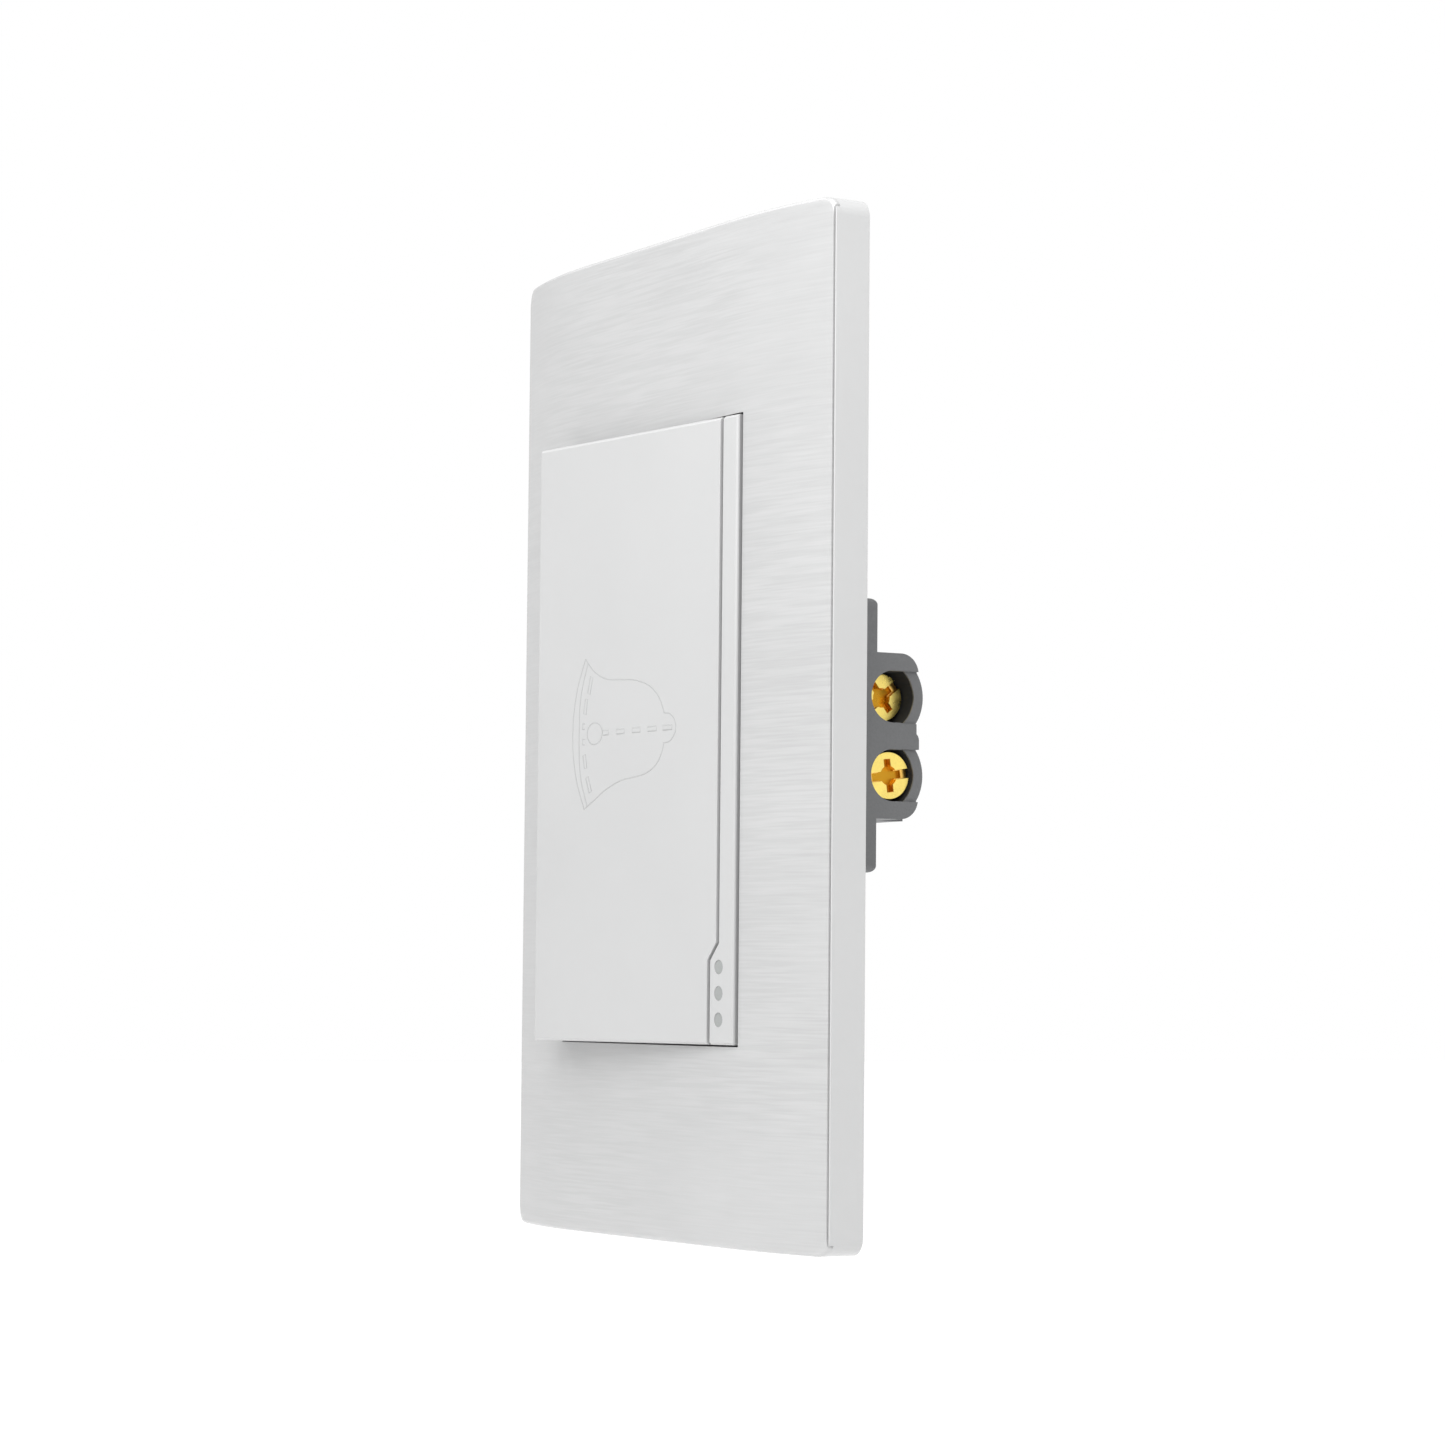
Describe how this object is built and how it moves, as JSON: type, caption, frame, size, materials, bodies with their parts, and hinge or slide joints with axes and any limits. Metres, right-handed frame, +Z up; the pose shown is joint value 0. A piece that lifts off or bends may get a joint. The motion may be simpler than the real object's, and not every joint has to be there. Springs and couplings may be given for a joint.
{
  "type": "doorbell push switch",
  "caption": "Wall-plate doorbell push: slim crowned brushed plate, large rocking key with a bell outline, indicator strip, and a grey contact module with side-facing screw terminals.",
  "frame": {"origin": "midway between the two box screw holes, on the wall plane at the back of the mounting frame", "axes": "+X across the plate towards the terminal side, +Y into the wall (the front faces -Y), +Z up the plate's long side"},
  "size_m": [0.074, 0.0304, 0.118],
  "materials": {
    "cover_satin": "smooth satin silver-white",
    "panel_brushed": "fine brushing across the width",
    "key_satin": "fine satin",
    "strip_satin": "fine satin",
    "glow_grey": "matte grey",
    "frame_white": "moulded white",
    "strap_steel": "zinc plated",
    "pin_steel": "drawn wire",
    "plunger_nylon": "natural nylon",
    "spring_steel": "spring wire",
    "module_grey": "fine moulded dark grey",
    "screw_zinc": "zinc plated",
    "copper": "rolled copper alloy",
    "spring_bronze": "rolled spring bronze",
    "silver_contact": "silver alloy",
    "brass": "pressed brass",
    "screw_brass": "bright yellow plated"
  },
  "bodies": {
    "wall_unit": {"mounting_frame": "frame_white", "strap_upper": "strap_steel", "strap_lower": "strap_steel", "key_carrier": "frame_white", "hinge_pin_upper": "pin_steel", "hinge_pin_lower": "pin_steel", "return_spring_upper": "spring_steel", "return_spring_lower": "spring_steel", "base_housing": "module_grey", "base_screws": "screw_zinc", "blade_terminal_strip": "copper", "blade_rivet": "brass", "contact_blade": "spring_bronze", "fixed_contact_strip": "copper", "fixed_contact": "silver_contact", "terminal_cage_upper": "brass", "terminal_cage_lower": "brass"},
    "cover": {"surround_frame": "cover_satin", "front_panel": "panel_brushed"},
    "key": {"rocker_key": "key_satin", "indicator_strip": "strip_satin", "luminous_insert": "glow_grey"},
    "push_rod": {"plunger": "plunger_nylon"},
    "blade_tip": {"moving_contact": "silver_contact"},
    "clamp_upper": {"clamp_plate_upper": "brass"},
    "screw_upper": {"terminal_screw_upper": "screw_brass"},
    "clamp_lower": {"clamp_plate_lower": "brass"},
    "screw_lower": {"terminal_screw_lower": "screw_brass"}
  },
  "joints": [
    {"name": "key_press", "type": "hinge", "parent": "wall_unit", "child": "key", "pos_m": [0.0175, -0.0043, 0], "axis": [0, 0, -1], "range_deg": [0, 5], "stiffness_Nm_per_rad": 0.6, "springref_deg": -3.44, "deforming": ["return_spring_upper", "return_spring_lower"]},
    {"name": "plunger_slide", "type": "slide", "parent": "wall_unit", "child": "push_rod", "axis": [0, 1, 0], "range_m": [0, 0.0024]},
    {"name": "blade_flex", "type": "hinge", "parent": "wall_unit", "child": "blade_tip", "pos_m": [0.0065, 0.004, 0], "axis": [0, 0, -1], "range_deg": [0, 9], "deforming": ["contact_blade"]},
    {"name": "cover_pull", "type": "slide", "parent": "wall_unit", "child": "cover", "axis": [0, -1, 0], "range_m": [0, 0.012]},
    {"name": "clamp_slide_upper", "type": "slide", "parent": "wall_unit", "child": "clamp_upper", "axis": [-1, 0, 0], "range_m": [-0.0017, 0.0006]},
    {"name": "screw_turn_upper", "type": "hinge", "parent": "clamp_upper", "child": "screw_upper", "pos_m": [0.0165, 0.0144, 0.0046], "axis": [-1, 0, 0], "range_deg": [-1025, 365]},
    {"name": "clamp_slide_lower", "type": "slide", "parent": "wall_unit", "child": "clamp_lower", "axis": [-1, 0, 0], "range_m": [0, 0.0023]},
    {"name": "screw_turn_lower", "type": "hinge", "parent": "clamp_lower", "child": "screw_lower", "pos_m": [0.0182, 0.0144, -0.0046], "axis": [-1, 0, 0], "range_deg": [0, 1385]}
  ],
  "couplings": [
    {"joint": "plunger_slide", "follows": "key_press", "m_per_rad": 0.02545},
    {"joint": "blade_flex", "follows": "key_press", "ratio": 1.755},
    {"joint": "screw_turn_upper", "follows": "clamp_slide_upper", "rad_per_m": 10472},
    {"joint": "screw_turn_lower", "follows": "clamp_slide_lower", "rad_per_m": 10472}
  ]
}
